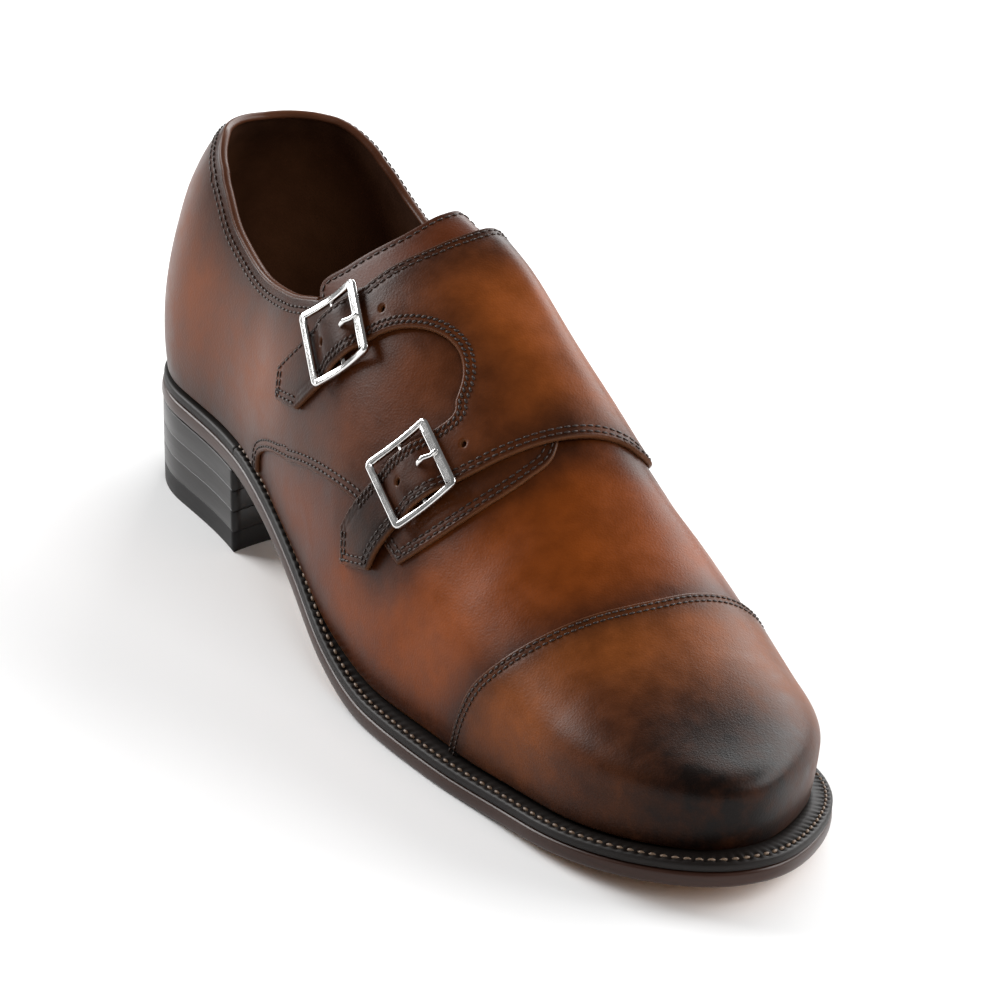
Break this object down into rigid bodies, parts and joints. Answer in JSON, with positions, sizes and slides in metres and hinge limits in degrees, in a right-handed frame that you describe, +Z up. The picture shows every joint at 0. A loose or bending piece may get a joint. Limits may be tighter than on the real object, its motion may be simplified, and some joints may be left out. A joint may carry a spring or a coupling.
{
  "type": "monk strap shoe",
  "caption": "Leather dress shoe with a toe cap, an apron closed by buckled straps over the instep, a welted sole and a stacked heel.",
  "frame": {"origin": "on the floor, below the middle of the whole shoe's box", "axes": "-Y towards the toe, -X towards the outer, buckled side, +Z up"},
  "size_m": [0.0974, 0.3038, 0.1164],
  "materials": {
    "outsole_leather": "polished edge, matt tan underside",
    "welt_leather": "dark, waxed",
    "insole_leather": "matt",
    "top_piece_rubber": "satin",
    "heel_leather": "polished",
    "upper_leather": "polished, burnished",
    "tongue_leather": "satin",
    "cap_leather": "polished, burnished dark at the tip",
    "quarter_leather": "polished, burnished",
    "strap_leather": "polished, burnished",
    "buckle_metal": "polished"
  },
  "bodies": {
    "root": {"outsole": "outsole_leather", "welt": "welt_leather", "heel_seat": "welt_leather", "insole": "insole_leather", "top_piece": "top_piece_rubber", "lift_1": "heel_leather", "lift_2": "heel_leather", "lift_3": "heel_leather", "upper": "upper_leather", "tongue": "tongue_leather", "toe_cap": "cap_leather", "outer_quarter": "quarter_leather", "inner_quarter_with_straps": "strap_leather", "buckle_upper": "buckle_metal", "prong_upper": "buckle_metal", "buckle_lower": "buckle_metal", "prong_lower": "buckle_metal"}
  },
  "joints": []
}
